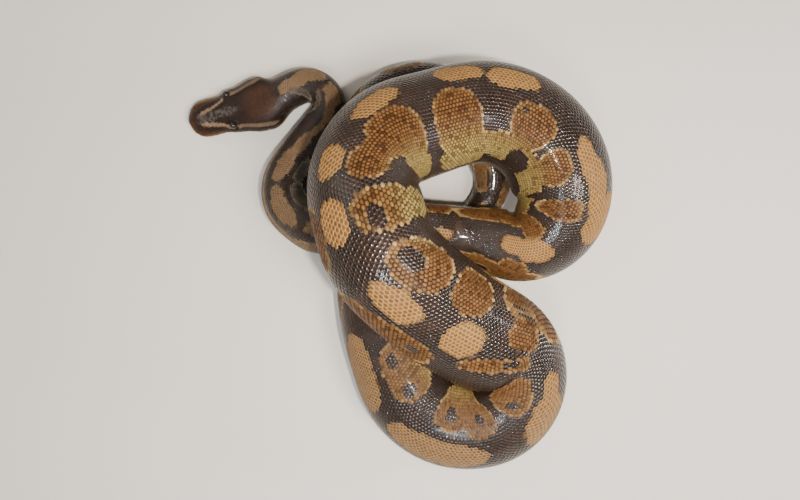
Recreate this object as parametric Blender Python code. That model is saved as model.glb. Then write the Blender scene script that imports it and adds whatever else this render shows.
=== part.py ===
"""A ball python lying coiled on a floor, at life size, as closed solids.

Metres, +Z up. The floor is z = 0 and the origin is the middle of the snake's footprint.
The body is one tube swept along a route of named bends. It is divided by thin cuts into the
head, lower jaw, neck, ten lengths of trunk and the tail. Each length is pressed flat where it
lies on the floor or against another length, as a soft body is, with a hair of room between.
"""

import math

import bmesh
import bpy
import numpy as np

# ---------------------------------------------------------------- driving dimensions

# The route of the body's axis seen from above, from the snout to the tail, as arcs joined by
# straight runs: name, centre x and y, radius, angle where the arc starts and ends in degrees,
# and how far the body is lifted off the floor at its start and end by what lies beneath it.
BENDS = [
    ("neck_hook", -0.060, 0.092, 0.0150, 112, -52, 0.000, 0.000),
    ("neck_bulge", -0.051, 0.039, 0.0220, 140, 256, 0.000, 0.010),
    ("neck_rise", -0.040, 0.100, 0.0870, 260, 274, 0.015, 0.028),
    ("under_coil", -0.010, -0.300, 0.3130, 93, 78, 0.031, 0.015),
    ("elbow", 0.067, 0.031, 0.0285, -90, 0, 0.015, 0.021),
    ("ring", 0.047, 0.031, 0.0485, 2, 112, 0.022, 0.031),
    ("shoulder", 0.017, 0.033, 0.0370, 112, 186, 0.035, 0.049),
    ("crossing", 0.0275, 0.0195, 0.0430, 190, 229, 0.056, 0.050),
    ("slant", 0.1950, 0.1965, 0.2870, 229, 240, 0.044, 0.020),
    ("turn", 0.042, -0.076, 0.0265, 60, -90, 0.014, 0.000),
    ("loop", 0.038, -0.063, 0.0400, -94, -150, 0.000, 0.000),
    ("run_beneath", 0.200, 0.008, 0.2180, 195.5, 176, 0.000, 0.000),
    ("crescent", 0.017, 0.062, 0.0400, 160, 20, 0.000, 0.000),
    ("inner_coil", 0.035, 0.046, 0.0255, 38, -60, 0.000, 0.000),
    ("tail_hook", 0.052, -0.005, 0.0220, 115, 228, 0.000, 0.000),
]
SNOUT = (-0.1370, 0.0828)  # tip of the snout, seen from above
NAPE = (-0.0830, 0.0954)  # where the head's straight axis ends
FOOTPRINT_CENTRE = (-0.0059, -0.0075)  # becomes the origin

# Half the body's width along the axis: distance from the snout, half width.
GIRTH = [
    (0.060, 0.0120), (0.076, 0.0114), (0.110, 0.0117), (0.150, 0.0152), (0.185, 0.0162),
    (0.280, 0.0165), (0.300, 0.0185), (0.345, 0.0262), (0.378, 0.0298), (0.460, 0.0290),
    (0.500, 0.0305), (0.560, 0.0315), (0.650, 0.0330), (0.740, 0.0320), (0.790, 0.0290),
    (0.840, 0.0245), (0.890, 0.0222), (0.940, 0.0204), (1.000, 0.0172), (1.060, 0.0130),
    (1.110, 0.0075), (1.147, 0.0020),
]
BACK_CURVE = 0.95  # powers of the section's circle: near one above,
BELLY_CURVE = 0.78  # squarer below
BACK_HEIGHT = 1.00  # top of the back above the widest level, in half widths
BELLY_DEPTH = 0.70  # belly below the widest level, in half widths
BELLY_SETTLE = 0.94  # share of that depth left once the belly has settled on the floor

BEND_SOFTNESS = 0.005  # rounding of the joins between bends
LIFT_SOFTNESS = 0.016  # rounding of the climbs
GIRTH_SOFTNESS = 0.010
AXIS_STEP = 0.002

CONTACT_ROOM = 0.0012  # left between two lengths pressed together
CUT_ROOM = 0.0012  # along the axis, between a length and the next
INNER_REACH = 0.93  # share of a bend's radius that its inner flank may fill
BELLY_SHORTFALL = 0.30  # how much less the body reaches down than up or aside, where it touches
OWN_STRETCH = 0.9  # a length touches no part of itself nearer than this many half widths,
OWN_STRETCH_EXTRA = 0.012  # and this much more

HEAD_LENGTH = 0.067  # snout to the first cut
NECK_END = 0.213
TRUNK_CUTS = [0.300, 0.395, 0.482, 0.560, 0.640, 0.745, 0.800, 0.880, 0.960]
TRUNK_END = 1.048
TAIL_END = 1.141
ROW_SPACING = 0.0090
AROUND = 28

# The head: distance from the snout, then the measure there.
LIP_HALF_WIDTH = [
    (0.000, 0.0119), (0.008, 0.0122), (0.015, 0.0125), (0.023, 0.0123), (0.029, 0.0138),
    (0.037, 0.0151), (0.044, 0.0171), (0.052, 0.0177), (0.057, 0.0169), (0.063, 0.0147),
    (0.069, 0.0124),
]
CROWN_HEIGHT = [
    (0.000, 0.0108), (0.009, 0.0126), (0.019, 0.0146), (0.029, 0.0168), (0.041, 0.0188),
    (0.053, 0.0200), (0.063, 0.0196),
]
LIP_HEIGHT = [(0.000, 0.0052), (0.015, 0.0056), (0.030, 0.0065), (0.045, 0.0078), (0.062, 0.0082)]
CROWN_SQUARENESS = [(0.000, 1.55), (0.020, 1.60), (0.030, 1.95), (0.045, 2.30), (0.066, 2.10)]
SNOUT_ROUNDING = 0.0105
SNOUT_STEEPNESS = 0.6  # below one, the snout's front stands steeper than it is round from above
JAW_SQUARENESS = 2.6
CHIN_RISE = 0.0030  # the chin's tip clears the floor by this
CHIN_RISE_LENGTH = 0.0090
HEAD_ROWS = [0.0003, 0.0011, 0.0024, 0.0042, 0.0067, 0.010, 0.0145, 0.0195, 0.0245, 0.029,
             0.0335, 0.038, 0.044, 0.050, 0.056, 0.0615, 0.0664]
NECK_BLEND_START = 0.053

MOUTH_LINE = [(-0.004, 0.0040), (0.010, 0.0043), (0.026, 0.0049), (0.040, 0.0062), (0.050, 0.0071)]
MOUTH_ROOM = 0.0004
EYE_RADIUS = 0.0030
EYE_ALONG = 0.0292  # from the snout
EYE_ASIDE = 0.0103
EYE_HEIGHT = 0.0122
SOCKET_ROOM = 0.0003


# ---------------------------------------------------------------- the body's axis


def softened(values, softness, step):
    """Values averaged along the axis with a bell-shaped weight, the ends held still."""
    reach = int(3 * softness / step)
    offsets = np.arange(-reach, reach + 1) * step
    weights = np.exp(-0.5 * (offsets / softness) ** 2)
    weights /= weights.sum()
    before = 2 * values[0] - values[reach:0:-1]
    after = 2 * values[-1] - values[-2:-reach - 2:-1]
    padded = np.concatenate([before, values, after])
    return np.convolve(padded, weights, mode="valid")


def evenly_spaced(points, step):
    """The same path with points a step apart, and each point's distance along it."""
    lengths = np.linalg.norm(np.diff(points, axis=0), axis=1)
    along = np.concatenate([[0.0], np.cumsum(lengths)])
    stations = np.linspace(0.0, along[-1], int(round(along[-1] / step)) + 1)
    path = np.stack([np.interp(stations, along, points[:, k]) for k in range(3)], axis=1)
    return path, stations


def traced_bends():
    """The arcs and the straight runs between them, as one path of points."""
    points = [(SNOUT[0], SNOUT[1], 0.0), (NAPE[0], NAPE[1], 0.0)]
    for _, x, y, radius, start, end, low, high in BENDS:
        pieces = max(3, int(math.radians(abs(end - start)) * radius / 0.004))
        for i in range(pieces + 1):
            share = i / pieces
            angle = math.radians(start + (end - start) * share)
            lift = low + (high - low) * share
            points.append((x + radius * math.cos(angle), y + radius * math.sin(angle), lift))
    return np.array(points)


def unit(vectors):
    return vectors / np.linalg.norm(vectors, axis=-1, keepdims=True)


class Axis:
    """The body's axis: place, directions, half width and curvature at any distance along it."""

    def __init__(self):
        path, _ = evenly_spaced(traced_bends(), AXIS_STEP)
        soft = [softened(path[:, k], BEND_SOFTNESS, AXIS_STEP) for k in (0, 1)]
        soft.append(softened(path[:, 2], LIFT_SOFTNESS, AXIS_STEP))
        self.path, self.along = evenly_spaced(np.stack(soft, axis=1), AXIS_STEP)
        knots = np.array(GIRTH)
        girth = np.interp(self.along, knots[:, 0], knots[:, 1])
        self.girth = softened(girth, GIRTH_SOFTNESS, AXIS_STEP)
        self.path[:, 2] += BELLY_DEPTH * BELLY_SETTLE * self.girth
        self.path[:, 0] -= FOOTPRINT_CENTRE[0]
        self.path[:, 1] -= FOOTPRINT_CENTRE[1]
        forward = unit(np.gradient(self.path, axis=0))
        self.right = unit(np.cross(forward, (0.0, 0.0, 1.0)))
        self.up = np.cross(self.right, forward)
        bending = np.gradient(forward, axis=0) / AXIS_STEP
        self.bend_right = softened((bending * self.right).sum(axis=1), 0.003, AXIS_STEP)
        self.bend_up = softened((bending * self.up).sum(axis=1), 0.003, AXIS_STEP)

    def at(self, values, distance):
        if values.ndim == 1:
            return np.interp(distance, self.along, values)
        return np.array([np.interp(distance, self.along, column) for column in values.T])


def section(angle):
    """A point on the unit cross-section, a loaf with a flat belly: aside and up."""
    curve = BACK_CURVE if math.cos(angle) > 0 else BELLY_CURVE
    aside = math.copysign(abs(math.sin(angle)) ** curve, math.sin(angle))
    height = BACK_HEIGHT if math.cos(angle) > 0 else -BELLY_DEPTH
    return aside, height * abs(math.cos(angle)) ** curve


def body_point(axis, distance, angle):
    """Where the body's surface is, pressed by the floor and by the lengths it touches."""
    centre = axis.at(axis.path, distance)
    girth = axis.at(axis.girth, distance)
    aside, above = (girth * v for v in section(angle))
    reach = math.hypot(aside, above)
    turning = (aside * axis.at(axis.bend_right, distance)
               + above * axis.at(axis.bend_up, distance)) / reach
    if turning > 0.1:
        limit = INNER_REACH / turning
        shrink = (reach ** -8 + limit ** -8) ** (-1 / 8) / reach
        aside, above = aside * shrink, above * shrink
    ray = aside * axis.at(axis.right, distance) + above * axis.at(axis.up, distance)
    share = 1.0
    if centre[2] + ray[2] < 0:
        share = -centre[2] / ray[2]
    away = np.abs(axis.along - distance) > OWN_STRETCH * girth + OWN_STRETCH_EXTRA
    between = centre - axis.path[away][::2]
    apart = np.linalg.norm(between, axis=1)
    toward = between / apart[:, None]
    own_reach = girth * (1 - BELLY_SHORTFALL * np.maximum(toward[:, 2], 0) ** 2)
    other_reach = axis.girth[away][::2] * (1 - BELLY_SHORTFALL * np.maximum(-toward[:, 2], 0) ** 2)
    border = (apart ** 2 + own_reach ** 2 - other_reach ** 2) / (2 * apart) - CONTACT_ROOM / 2
    closing = -toward @ ray
    meets = (closing > 0) & (apart < own_reach + other_reach + CONTACT_ROOM)
    if meets.any():
        share = min(share, float((border[meets] / closing[meets]).min()))
    return centre + max(share, 0.15) * ray


# ---------------------------------------------------------------- meshes


def material(name, colour, roughness):
    finish = bpy.data.materials.new(name)
    finish.use_nodes = True
    shader = finish.node_tree.nodes["Principled BSDF"]
    shader.inputs["Base Color"].default_value = (*colour, 1.0)
    shader.inputs["Roughness"].default_value = roughness
    shader.inputs["Metallic"].default_value = 0.0
    return finish


def add_object(name, mesh_builder, finish):
    mesh = bpy.data.meshes.new(name)
    mesh_builder.to_mesh(mesh)
    mesh_builder.free()
    mesh.materials.append(finish)
    mesh.shade_smooth()
    made = bpy.data.objects.new(name, mesh)
    bpy.context.scene.collection.objects.link(made)
    return made


def rolled_sheet(rows, place):
    """A grid rolled into a tube, its ends closed: place gives a row's and an angle's point."""
    builder = bmesh.new()
    bmesh.ops.create_grid(builder, x_segments=len(rows) - 1, y_segments=AROUND, size=0.5)
    for vertex in builder.verts:
        row = round((vertex.co.x + 0.5) * (len(rows) - 1))
        turn = round((vertex.co.y + 0.5) * AROUND) % AROUND
        vertex.co = place(rows[row], math.tau * (turn / AROUND - 0.5))
    bmesh.ops.remove_doubles(builder, verts=builder.verts, dist=1e-7)
    ends = bmesh.ops.holes_fill(builder, edges=builder.edges)["faces"]
    bmesh.ops.poke(builder, faces=ends)
    bmesh.ops.triangulate(builder, faces=builder.faces)
    bmesh.ops.recalc_face_normals(builder, faces=builder.faces)
    return builder


def body_length(axis, name, start, end, finish):
    count = max(2, round((end - start) / ROW_SPACING))
    rows = [start + (end - start) * i / count for i in range(count + 1)]
    builder = rolled_sheet(rows, lambda distance, angle: body_point(axis, distance, angle))
    return add_object(name, builder, finish)


def cut_away(target, cutter, operation):
    cutter.hide_render = True
    cutter.display_type = "WIRE"
    boolean = target.modifiers.new(cutter.name, "BOOLEAN")
    boolean.operation = operation
    boolean.solver = "EXACT"
    boolean.object = cutter


# ---------------------------------------------------------------- the head


def read_off(knots, distance):
    pairs = np.array(knots)
    return float(np.interp(distance, pairs[:, 0], pairs[:, 1]))


def head_point(axis, distance, angle):
    """The head's surface: wide lips, a narrower crown, and a jaw that lies on the floor."""
    blunt = min(distance / SNOUT_ROUNDING, 1.0)
    fullness = (1 - (1 - blunt) ** 2) ** 0.5
    half_width = read_off(LIP_HALF_WIDTH, distance) * fullness
    lip = read_off(LIP_HEIGHT, distance)
    steep = fullness ** SNOUT_STEEPNESS
    crown = lip + (read_off(CROWN_HEIGHT, distance) - lip) * steep
    chin = CHIN_RISE * max(0.0, 1 - distance / CHIN_RISE_LENGTH) ** 2
    chin = lip - (lip - chin) * steep
    squareness = read_off(CROWN_SQUARENESS, distance)
    power = 2 / (squareness if math.cos(angle) > 0 else JAW_SQUARENESS)
    aside = math.copysign(half_width * abs(math.sin(angle)) ** power, math.sin(angle))
    rise = abs(math.cos(angle)) ** power
    height = lip + (crown - lip) * rise if math.cos(angle) > 0 else lip - (lip - chin) * rise
    centre = axis.at(axis.path, distance)
    side = axis.at(axis.right, distance)
    point = np.array([centre[0] + aside * side[0], centre[1] + aside * side[1], height])
    blend = min(max((distance - NECK_BLEND_START) / (HEAD_LENGTH - NECK_BLEND_START), 0), 1)
    blend = blend * blend * (3 - 2 * blend)
    if blend > 0:
        point = point + (body_point(axis, distance, angle) - point) * blend
    point[2] = max(point[2], 0.0)
    return point


def mouth_cutter(axis, name, sink, finish):
    """A block that fills everything under the mouth line, as far back as the jaw's corner."""
    builder = bmesh.new()
    snout = axis.at(axis.path, 0.0)
    forward = unit(axis.at(axis.path, 0.040) - snout)
    back = MOUTH_LINE[-1][0]
    outline = [(along, height - sink) for along, height in MOUTH_LINE]
    outline[-1] = (back - sink, outline[-1][1])
    outline += [(back - sink, -0.010), (MOUTH_LINE[0][0], -0.010)]
    side = np.array([-forward[1], forward[0], 0.0])
    corners = []
    for along, height in outline:
        place = snout + forward * along - side * 0.030
        corners.append(builder.verts.new((place[0], place[1], height)))
    face = builder.faces.new(corners)
    swept = bmesh.ops.extrude_face_region(builder, geom=[face])["geom"]
    moved = [item for item in swept if isinstance(item, bmesh.types.BMVert)]
    bmesh.ops.translate(builder, verts=moved, vec=side * 0.060)
    bmesh.ops.recalc_face_normals(builder, faces=builder.faces)
    return add_object(name, builder, finish)


def ball(name, centre, radius, finish):
    builder = bmesh.new()
    bmesh.ops.create_uvsphere(builder, u_segments=16, v_segments=10, radius=radius)
    bmesh.ops.translate(builder, verts=builder.verts, vec=centre)
    return add_object(name, builder, finish)


def build_head(axis, skin, eye_finish):
    def place(distance, angle):
        return head_point(axis, distance, angle)

    head = add_object("head", rolled_sheet(HEAD_ROWS, place), skin)
    jaw = add_object("lower_jaw", rolled_sheet(HEAD_ROWS, place), skin)
    cut_away(head, mouth_cutter(axis, "mouth_above", 0.0, skin), "DIFFERENCE")
    cut_away(jaw, mouth_cutter(axis, "mouth_below", MOUTH_ROOM, skin), "INTERSECT")
    centre = axis.at(axis.path, EYE_ALONG)
    side = axis.at(axis.right, EYE_ALONG)
    for name, sign in (("eye_right", -1), ("eye_left", 1)):
        place_of_eye = centre + sign * EYE_ASIDE * side
        place_of_eye[2] = EYE_HEIGHT
        ball(name, place_of_eye, EYE_RADIUS, eye_finish)
        socket = ball(name.replace("eye", "socket"), place_of_eye, EYE_RADIUS + SOCKET_ROOM, skin)
        cut_away(head, socket, "DIFFERENCE")


# ---------------------------------------------------------------- the whole snake


def main():
    for old in list(bpy.data.objects):
        bpy.data.objects.remove(old, do_unlink=True)
    axis = Axis()
    head_skin = material("head_skin", (0.060, 0.036, 0.026), 0.38)
    body_skin = material("body_skin", (0.105, 0.062, 0.036), 0.42)
    eye_finish = material("eye", (0.012, 0.010, 0.009), 0.08)
    build_head(axis, head_skin, eye_finish)
    half = CUT_ROOM / 2
    body_length(axis, "neck", HEAD_LENGTH + half, NECK_END - half, body_skin)
    cuts = [NECK_END, *TRUNK_CUTS, TRUNK_END]
    for number, (start, end) in enumerate(zip(cuts, cuts[1:]), start=1):
        body_length(axis, f"trunk_{number:02d}", start + half, end - half, body_skin)
    body_length(axis, "tail", TRUNK_END + half, TAIL_END, body_skin)


main()
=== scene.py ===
import math

import bmesh
import bpy
import numpy as np
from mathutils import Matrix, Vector


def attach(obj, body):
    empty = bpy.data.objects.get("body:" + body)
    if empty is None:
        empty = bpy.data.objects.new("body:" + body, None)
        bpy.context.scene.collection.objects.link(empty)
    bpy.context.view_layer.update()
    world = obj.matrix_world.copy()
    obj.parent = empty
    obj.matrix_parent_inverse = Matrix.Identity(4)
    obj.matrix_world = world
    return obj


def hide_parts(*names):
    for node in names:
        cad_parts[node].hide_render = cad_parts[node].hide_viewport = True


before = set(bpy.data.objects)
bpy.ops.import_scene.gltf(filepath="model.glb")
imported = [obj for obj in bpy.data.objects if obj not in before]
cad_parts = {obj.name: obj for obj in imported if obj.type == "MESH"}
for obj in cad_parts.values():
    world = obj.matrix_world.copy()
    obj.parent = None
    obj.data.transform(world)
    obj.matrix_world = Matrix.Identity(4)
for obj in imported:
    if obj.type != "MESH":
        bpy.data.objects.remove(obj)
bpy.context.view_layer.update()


# ---- Camera ----------------------------------------------------------------------------
# The viewpoint is straight above the coil at arm's length, through a wide lens, so the high
# loops look larger than the lengths that lie on the floor.
overhead_lens = bpy.data.cameras.new("overhead")
overhead_lens.lens = 27.0
overhead_lens.sensor_width = 36.0
overhead_lens.clip_start = 0.01
overhead = bpy.data.objects.new("overhead", overhead_lens)
overhead.location = (0.0059, 0.0075, 0.395)
bpy.context.scene.collection.objects.link(overhead)
bpy.context.scene.camera = overhead


# ---- Floor and light -------------------------------------------------------------------
# A plain pale studio floor, lit by a broad soft lamp to the right, a weak fill opposite it, a
# small lamp near the viewpoint and two cool ones that give each scale its glint, and by a dim
# warm surround.
def area_lamp(name, place, aim, size, watts, tint):
    lamp = bpy.data.lights.new(name, "AREA")
    lamp.shape = "DISK"
    lamp.size = size
    lamp.energy = watts
    lamp.color = tint
    hung = bpy.data.objects.new(name, lamp)
    hung.location = place
    away = hung.location - Vector(aim)
    hung.rotation_euler = away.to_track_quat("Z", "Y").to_euler()
    bpy.context.scene.collection.objects.link(hung)


area_lamp("broad_lamp", (0.55, -0.30, 0.95), (0.0, 0.0, 0.05), 0.36, 12.0, (1.0, 0.93, 0.84))
area_lamp("glint_lamp", (0.075, -0.045, 0.47), (0.0, 0.0, 0.03), 0.026, 2.6, (1.0, 0.95, 0.88))
area_lamp("window_lamp", (0.62, 0.02, 0.26), (0.04, 0.0, 0.06), 0.09, 1.7, (0.80, 0.90, 1.0))
area_lamp("sky_lamp", (-0.05, -0.50, 0.90), (-0.02, -0.06, 0.03), 0.26, 6.0, (0.80, 0.90, 1.0))
area_lamp("fill_lamp", (-0.60, 0.50, 0.80), (0.0, 0.0, 0.05), 0.90, 4.0, (1.0, 0.97, 0.93))

surround = bpy.data.worlds.new("surround")
surround.use_nodes = True
surround.node_tree.nodes["Background"].inputs["Color"].default_value = (0.92, 0.84, 0.74, 1.0)
surround.node_tree.nodes["Background"].inputs["Strength"].default_value = 0.19
bpy.context.scene.world = surround

floor_finish = bpy.data.materials.new("pale_floor")
floor_finish.use_nodes = True
floor_shader = floor_finish.node_tree.nodes["Principled BSDF"]
floor_shader.inputs["Base Color"].default_value = (0.66, 0.61, 0.55, 1.0)
floor_shader.inputs["Roughness"].default_value = 0.75
floor_mesh = bpy.data.meshes.new("floor")
floor_build = bmesh.new()
bmesh.ops.create_grid(floor_build, x_segments=1, y_segments=1, size=2.5)
floor_build.to_mesh(floor_mesh)
floor_build.free()
floor_mesh.materials.append(floor_finish)
floor = bpy.data.objects.new("floor", floor_mesh)
bpy.context.scene.collection.objects.link(floor)


# ---- Skin ------------------------------------------------------------------------------
# The snake's whole hide from snout to tail tip, one closed soft sheet with no seam. It is
# swept along the same route of bends as the solids, pressed flat by the floor and by the
# lengths it touches, and lies inside them by the depth of the scales.
BENDS = [
    ("neck_hook", -0.060, 0.092, 0.0150, 112, -52, 0.000, 0.000),
    ("neck_bulge", -0.051, 0.039, 0.0220, 140, 256, 0.000, 0.010),
    ("neck_rise", -0.040, 0.100, 0.0870, 260, 274, 0.015, 0.028),
    ("under_coil", -0.010, -0.300, 0.3130, 93, 78, 0.031, 0.015),
    ("elbow", 0.067, 0.031, 0.0285, -90, 0, 0.015, 0.021),
    ("ring", 0.047, 0.031, 0.0485, 2, 112, 0.022, 0.031),
    ("shoulder", 0.017, 0.033, 0.0370, 112, 186, 0.035, 0.049),
    ("crossing", 0.0275, 0.0195, 0.0430, 190, 229, 0.056, 0.050),
    ("slant", 0.1950, 0.1965, 0.2870, 229, 240, 0.044, 0.020),
    ("turn", 0.042, -0.076, 0.0265, 60, -90, 0.014, 0.000),
    ("loop", 0.038, -0.063, 0.0400, -94, -150, 0.000, 0.000),
    ("run_beneath", 0.200, 0.008, 0.2180, 195.5, 176, 0.000, 0.000),
    ("crescent", 0.017, 0.062, 0.0400, 160, 20, 0.000, 0.000),
    ("inner_coil", 0.035, 0.046, 0.0255, 38, -60, 0.000, 0.000),
    ("tail_hook", 0.052, -0.005, 0.0220, 115, 228, 0.000, 0.000),
]
SNOUT = (-0.1370, 0.0828)
NAPE = (-0.0830, 0.0954)
FOOTPRINT_CENTRE = (-0.0059, -0.0075)
GIRTH = np.array([
    (0.060, 0.0120), (0.076, 0.0114), (0.110, 0.0117), (0.150, 0.0152), (0.185, 0.0162),
    (0.280, 0.0165), (0.300, 0.0185), (0.345, 0.0262), (0.378, 0.0298), (0.460, 0.0290),
    (0.500, 0.0305), (0.560, 0.0315), (0.650, 0.0330), (0.740, 0.0320), (0.790, 0.0290),
    (0.840, 0.0245), (0.890, 0.0222), (0.940, 0.0204), (1.000, 0.0172), (1.060, 0.0130),
    (1.110, 0.0075), (1.147, 0.0020),
])
TAIL_END = 1.141
HEAD_LENGTH = 0.067
STEP = 0.002
BELLY_DEPTH = 0.70      # of the half width, from the body's axis down to its belly
FLOOR_PRESS = 0.94      # of that depth is left where the body lies on the floor
ROOM = 0.0012           # between two lengths of the body that touch


def softened(values, softness):
    reach = int(3 * softness / STEP)
    weights = np.exp(-0.5 * (np.arange(-reach, reach + 1) * STEP / softness) ** 2)
    before = 2 * values[0] - values[reach:0:-1]
    after = 2 * values[-1] - values[-2:-reach - 2:-1]
    padded = np.concatenate([before, values, after])
    return np.convolve(padded, weights / weights.sum(), mode="valid")


def evenly_spaced(points):
    lengths = np.linalg.norm(np.diff(points, axis=0), axis=1)
    along = np.concatenate([[0.0], np.cumsum(lengths)])
    stations = np.linspace(0.0, along[-1], int(round(along[-1] / STEP)) + 1)
    return np.stack([np.interp(stations, along, points[:, k]) for k in range(3)], axis=1), stations


def unit(vectors):
    return vectors / np.linalg.norm(vectors, axis=-1, keepdims=True)


route = [(SNOUT[0], SNOUT[1], 0.0), (NAPE[0], NAPE[1], 0.0)]
for _, bend_x, bend_y, radius, start, end, low, high in BENDS:
    pieces = max(3, int(math.radians(abs(end - start)) * radius / 0.004))
    for i in range(pieces + 1):
        angle = math.radians(start + (end - start) * i / pieces)
        route.append((bend_x + radius * math.cos(angle), bend_y + radius * math.sin(angle),
                      low + (high - low) * i / pieces))
rough_path, _ = evenly_spaced(np.array(route))
soft_path = np.stack([softened(rough_path[:, 0], 0.005), softened(rough_path[:, 1], 0.005),
                      softened(rough_path[:, 2], 0.016)], axis=1)
path, along = evenly_spaced(soft_path)
girth = softened(np.interp(along, GIRTH[:, 0], GIRTH[:, 1]), 0.010)
path[:, 2] += BELLY_DEPTH * FLOOR_PRESS * girth
path[:, 0] -= FOOTPRINT_CENTRE[0]
path[:, 1] -= FOOTPRINT_CENTRE[1]
forward = unit(np.gradient(path, axis=0))
right = unit(np.cross(forward, (0.0, 0.0, 1.0)))
upward = np.cross(right, forward)
bending = np.gradient(forward, axis=0) / STEP
bend_right = softened((bending * right).sum(axis=1), 0.003)
bend_up = softened((bending * upward).sum(axis=1), 0.003)


def axis_at(values, distance):
    if values.ndim == 1:
        return np.interp(distance, along, values)
    return np.stack([np.interp(distance, along, column) for column in values.T], axis=-1)


def body_row(distance, angles):
    """The body's surface all round at one distance from the snout."""
    centre = axis_at(path, distance)
    half = axis_at(girth, distance)
    sine, cosine = np.sin(angles), np.cos(angles)
    top = cosine > 0
    aside = half * np.sign(sine) * np.abs(sine) ** np.where(top, 0.95, 0.78)
    above = half * np.where(top, np.abs(cosine) ** 0.95, -BELLY_DEPTH * np.abs(cosine) ** 0.78)
    reach = np.hypot(aside, above)
    turning = (aside * axis_at(bend_right, distance) + above * axis_at(bend_up, distance)) / reach
    limit = 0.93 / np.maximum(turning, 0.1)
    shrink = (reach ** -8 + limit ** -8) ** (-1 / 8) / reach
    shrink = np.where(turning > 0.1, shrink, 1.0)
    ray = ((aside * shrink)[:, None] * axis_at(right, distance)
           + (above * shrink)[:, None] * axis_at(upward, distance))
    under = centre[2] + ray[:, 2] < 0
    share = np.where(under, -centre[2] / np.where(under, ray[:, 2], -1.0), 1.0)
    away = np.abs(along - distance) > 0.9 * half + 0.012
    between = centre - path[away][::2]
    apart = np.linalg.norm(between, axis=1)
    toward = between / apart[:, None]
    own = half * (1 - 0.30 * np.maximum(toward[:, 2], 0) ** 2)
    other = girth[away][::2] * (1 - 0.30 * np.maximum(-toward[:, 2], 0) ** 2)
    border = (apart ** 2 + own ** 2 - other ** 2) / (2 * apart) - ROOM / 2
    closing = -ray @ toward.T
    meets = (closing > 0) & (apart < own + other + ROOM)[None, :]
    ratio = np.where(meets, border[None, :] / np.where(meets, closing, 1.0), 9.0).min(axis=1)
    return centre + np.maximum(np.minimum(share, ratio), 0.15)[:, None] * ray


LIP_HALF_WIDTH = np.array([
    (0.000, 0.0119), (0.008, 0.0122), (0.015, 0.0125), (0.023, 0.0123), (0.029, 0.0138),
    (0.037, 0.0151), (0.044, 0.0171), (0.052, 0.0177), (0.057, 0.0169), (0.063, 0.0147),
    (0.069, 0.0124),
])
CROWN_HEIGHT = np.array([
    (0.000, 0.0108), (0.009, 0.0126), (0.019, 0.0146), (0.029, 0.0168), (0.041, 0.0188),
    (0.053, 0.0200), (0.063, 0.0196),
])
LIP_HEIGHT = np.array([(0.000, 0.0052), (0.015, 0.0056), (0.030, 0.0065), (0.045, 0.0078),
                       (0.062, 0.0082)])
CROWN_SQUARENESS = np.array([(0.000, 1.55), (0.020, 1.60), (0.030, 1.95), (0.045, 2.30),
                             (0.066, 2.10)])
MOUTH_LINE = np.array([(-0.004, 0.0040), (0.010, 0.0043), (0.026, 0.0049), (0.040, 0.0062),
                       (0.050, 0.0071)])


def read_off(knots, distance):
    return np.interp(distance, knots[:, 0], knots[:, 1])


def head_row(distance, angles):
    """The head's surface all round at one distance: wide lips, narrower crown, flat jaw."""
    blunt = min(distance / 0.0105, 1.0)
    fullness = (1 - (1 - blunt) ** 2) ** 0.5
    half_width = read_off(LIP_HALF_WIDTH, distance) * fullness
    lip = read_off(LIP_HEIGHT, distance)
    steep = fullness ** 0.6
    crown = lip + (read_off(CROWN_HEIGHT, distance) - lip) * steep
    chin = 0.0030 * max(0.0, 1 - distance / 0.0090) ** 2
    chin = lip - (lip - chin) * steep
    sine, cosine = np.sin(angles), np.cos(angles)
    top = cosine > 0
    power = np.where(top, 2 / read_off(CROWN_SQUARENESS, distance), 2 / 2.6)
    aside = half_width * np.sign(sine) * np.abs(sine) ** power
    rise = np.abs(cosine) ** power
    height = np.where(top, lip + (crown - lip) * rise, lip - (lip - chin) * rise)
    centre = axis_at(path, distance)
    side = axis_at(right, distance)
    row = np.stack([centre[0] + aside * side[0], centre[1] + aside * side[1], height], axis=1)
    blend = min(max((distance - 0.053) / (HEAD_LENGTH - 0.053), 0), 1)
    blend = blend * blend * (3 - 2 * blend)
    if blend > 0:
        row = row + (body_row(distance, angles) - row) * blend
    row[:, 2] = np.maximum(row[:, 2], 0.0)
    return row


COLUMNS = 288
turns = math.tau * (np.arange(COLUMNS) / COLUMNS - 0.5)
stations = np.concatenate([np.arange(0.0003, HEAD_LENGTH, 0.0005),
                           np.arange(HEAD_LENGTH, TAIL_END, 0.0010), [TAIL_END]])
shape = np.stack([head_row(s, turns) if s < HEAD_LENGTH else body_row(s, turns)
                  for s in stations])


def smoothed_over(values, passes):
    """The creases between pressed lengths are rounded over a millimetre or two."""
    for _ in range(passes):
        round_about = (np.roll(values, 1, axis=1) + np.roll(values, -1, axis=1)) / 2
        values = values * 0.5 + round_about * 0.5
        middle = (values[:-2] + values[2:]) / 2
        values = np.concatenate([values[:1], values[1:-1] * 0.5 + middle * 0.5, values[-1:]])
    return values


def outward(surface):
    along_body = np.gradient(surface, axis=0)
    around_body = (np.roll(surface, -1, axis=1) - np.roll(surface, 1, axis=1)) / 2
    normal = np.cross(along_body, around_body)
    length = np.linalg.norm(normal, axis=-1, keepdims=True)
    normal = normal / np.maximum(length, 1e-12)
    outside = ((surface - surface.mean(axis=1, keepdims=True)) * normal).sum()
    return normal * np.sign(outside)


head_rows = int((stations < HEAD_LENGTH).sum())
pressed = smoothed_over(shape, 3)
keep_head = np.clip((stations - 0.050) / 0.012, 0, 1)[:, None, None]
shape = shape * (1 - keep_head) + pressed * keep_head
normals = outward(shape)
normals = smoothed_over(normals, 2)
normals = normals / np.maximum(np.linalg.norm(normals, axis=-1, keepdims=True), 1e-9)

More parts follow.
